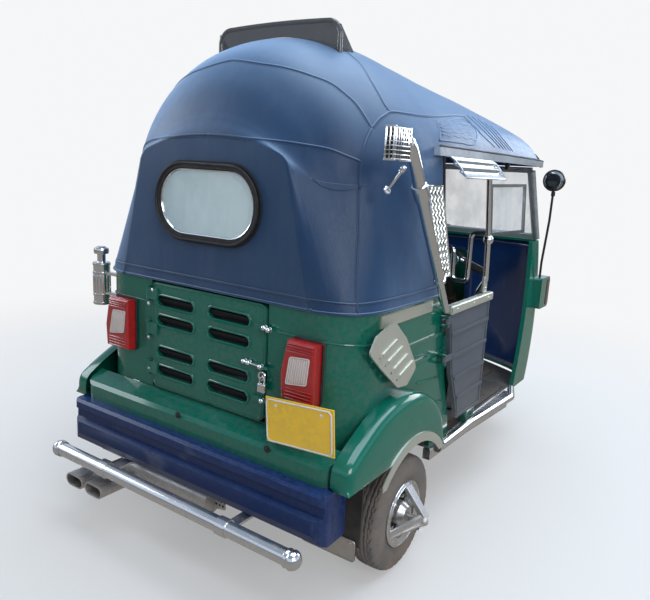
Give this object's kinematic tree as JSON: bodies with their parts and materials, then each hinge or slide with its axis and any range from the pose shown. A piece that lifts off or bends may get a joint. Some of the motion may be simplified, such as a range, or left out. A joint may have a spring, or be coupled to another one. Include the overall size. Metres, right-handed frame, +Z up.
{
  "type": "three-wheeled auto rickshaw with soft hood",
  "caption": "Three-wheeled passenger auto rickshaw with a soft hood over the rear bench, an open cab behind a raked screen, steered front wheel, half-doors and a chrome dress kit.",
  "frame": {"origin": "on the ground under the middle of the overall box", "axes": "+Y forward, +X to the vehicle's right, +Z up"},
  "size_m": [1.444, 2.8264, 1.88],
  "materials": {
    "body_green": "gloss, worn",
    "hood_vinyl": "coated cloth, soft sheen",
    "chrome": "polished",
    "frame_paint": "satin black",
    "floor_paint": "dusty satin",
    "tyre": "dusty",
    "bumper_plastic": "moulded, dark navy",
    "lamp_plastic": "clear moulded lens",
    "plate_paint": "matt, bare plate",
    "rubber": "matt",
    "seat_vinyl": "soft vinyl",
    "engine_metal": "cast",
    "exhaust_metal": "brushed",
    "clear_glass": "clear",
    "door_vinyl": "dark grey panel",
    "eave_paint": "gloss white and bright trim",
    "mirror_black": "black, bright face"
  },
  "bodies": {
    "vehicle": {"cab_rails": "chrome", "canister": "chrome", "chassis_frame": "frame_paint", "door_posts": "body_green", "driver_seat": "seat_vinyl", "driver_seat_base": "body_green", "eave_trims": "eave_paint", "engine_block": "engine_metal", "exhaust": "exhaust_metal", "fenders": "body_green", "flank_trims": "chrome", "floor_pan": "floor_paint", "front_cowl": "body_green", "front_header": "frame_paint", "front_nose": "body_green", "headlamps": "chrome", "hood_back": "hood_vinyl", "hood_bows": "frame_paint", "hood_top": "hood_vinyl", "indicators": "body_green", "mirrors": "mirror_black", "mud_flaps": "rubber", "number_plate": "plate_paint", "passenger_backrest": "seat_vinyl", "passenger_seat": "seat_vinyl", "quarter_glass": "clear_glass", "rear_arms": "frame_paint", "rear_bar": "chrome", "rear_bumper": "bumper_plastic", "rear_lip": "body_green", "rear_panel": "body_green", "rear_window": "clear_glass", "roof_spoiler": "mirror_black", "seat_base": "body_green", "side_panels": "body_green", "side_stacks": "chrome", "side_steps": "chrome", "tail_lamps": "lamp_plastic", "wheel_housings": "frame_paint", "window_rubber": "rubber", "windscreen": "clear_glass", "windscreen_frame": "eave_paint"},
    "rear_wheel_left": {"rear_tyre_left": "tyre", "rear_rim_left": "chrome"},
    "rear_wheel_right": {"rear_tyre_right": "tyre", "rear_rim_right": "chrome"},
    "steering": {"front_fork": "frame_paint", "front_mudguard": "body_green", "handlebar": "frame_paint"},
    "front_wheel": {"front_tyre": "tyre", "front_rim": "chrome"},
    "engine_lid": {"engine_door": "body_green", "engine_door_fittings": "chrome"},
    "door_left": {"half_door_left": "door_vinyl"},
    "door_right": {"half_door_right": "door_vinyl"}
  },
  "joints": [
    {"name": "rear_left_roll", "type": "hinge", "parent": "vehicle", "child": "rear_wheel_left", "pos_m": [-0.575, -0.825, 0.207], "axis": [1, 0, 0], "continuous": true},
    {"name": "rear_right_roll", "type": "hinge", "parent": "vehicle", "child": "rear_wheel_right", "pos_m": [0.575, -0.825, 0.207], "axis": [1, 0, 0], "continuous": true},
    {"name": "steer", "type": "hinge", "parent": "vehicle", "child": "steering", "pos_m": [0, 1.175, 0.207], "axis": [0, -0.5, 0.866], "range_deg": [-40, 40]},
    {"name": "front_roll", "type": "hinge", "parent": "steering", "child": "front_wheel", "pos_m": [0, 1.175, 0.207], "axis": [1, 0, 0], "continuous": true},
    {"name": "engine_door_swing", "type": "hinge", "parent": "vehicle", "child": "engine_lid", "pos_m": [-0.286, -1.187, 0.75], "axis": [0, 0, -1], "range_deg": [0, 100]},
    {"name": "left_door_swing", "type": "hinge", "parent": "vehicle", "child": "door_left", "pos_m": [-0.612, -0.562, 0.75], "axis": [0, 0, 1], "range_deg": [0, 80]},
    {"name": "right_door_swing", "type": "hinge", "parent": "vehicle", "child": "door_right", "pos_m": [0.612, -0.562, 0.75], "axis": [0, 0, -1], "range_deg": [0, 80]}
  ]
}
